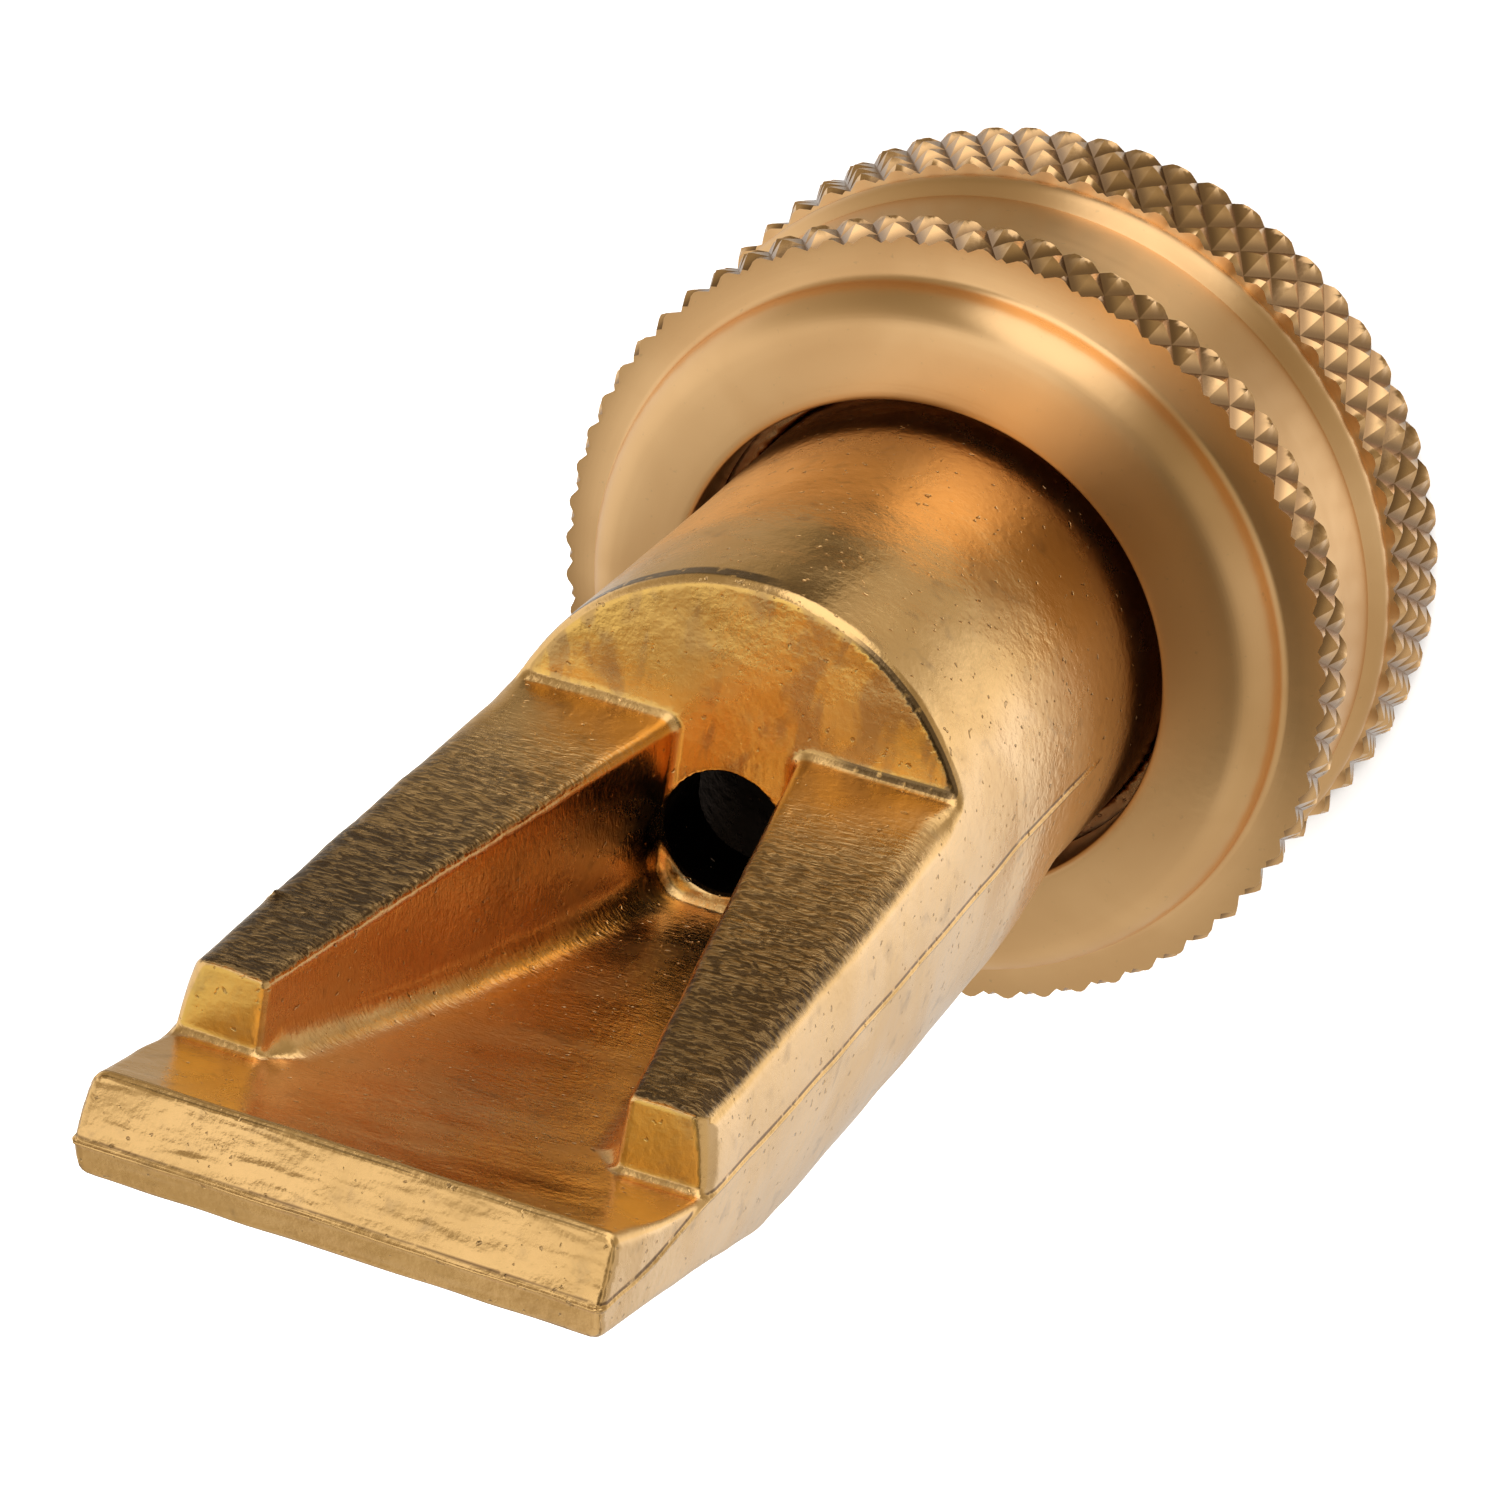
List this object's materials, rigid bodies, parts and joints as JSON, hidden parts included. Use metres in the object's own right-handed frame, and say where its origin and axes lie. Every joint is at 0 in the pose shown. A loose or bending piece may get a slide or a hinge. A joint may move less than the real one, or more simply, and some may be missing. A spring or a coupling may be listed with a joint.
{
  "type": "fan spray nozzle",
  "caption": "Cast brass flat-fan spreader nozzle with side ribs and a flared lip, turning in a knurled coupling nut for a hose thread.",
  "frame": {"origin": "centre of the coupling nut's rear face, the face that the nozzle stands on", "axes": "+Z along the nozzle's axis, from the hose end to the fan's lip; -Y is the open side of the fan; X runs across the lip"},
  "size_m": [0.034, 0.034, 0.0679],
  "materials": {
    "turned_brass": "satin turned brass with fine concentric tool marks and a diamond knurl",
    "cast_brass": "bright rumbled casting, slightly pitted",
    "black_rubber": "matte"
  },
  "bodies": {
    "nut": {"coupling_nut": "turned_brass", "hose_washer": "black_rubber"},
    "spreader": {"spreader_body": "cast_brass"}
  },
  "joints": [
    {"name": "swivel", "type": "hinge", "parent": "nut", "child": "spreader", "pos_m": [0, 0, 0.0123], "axis": [0, 0, 1], "continuous": true}
  ]
}
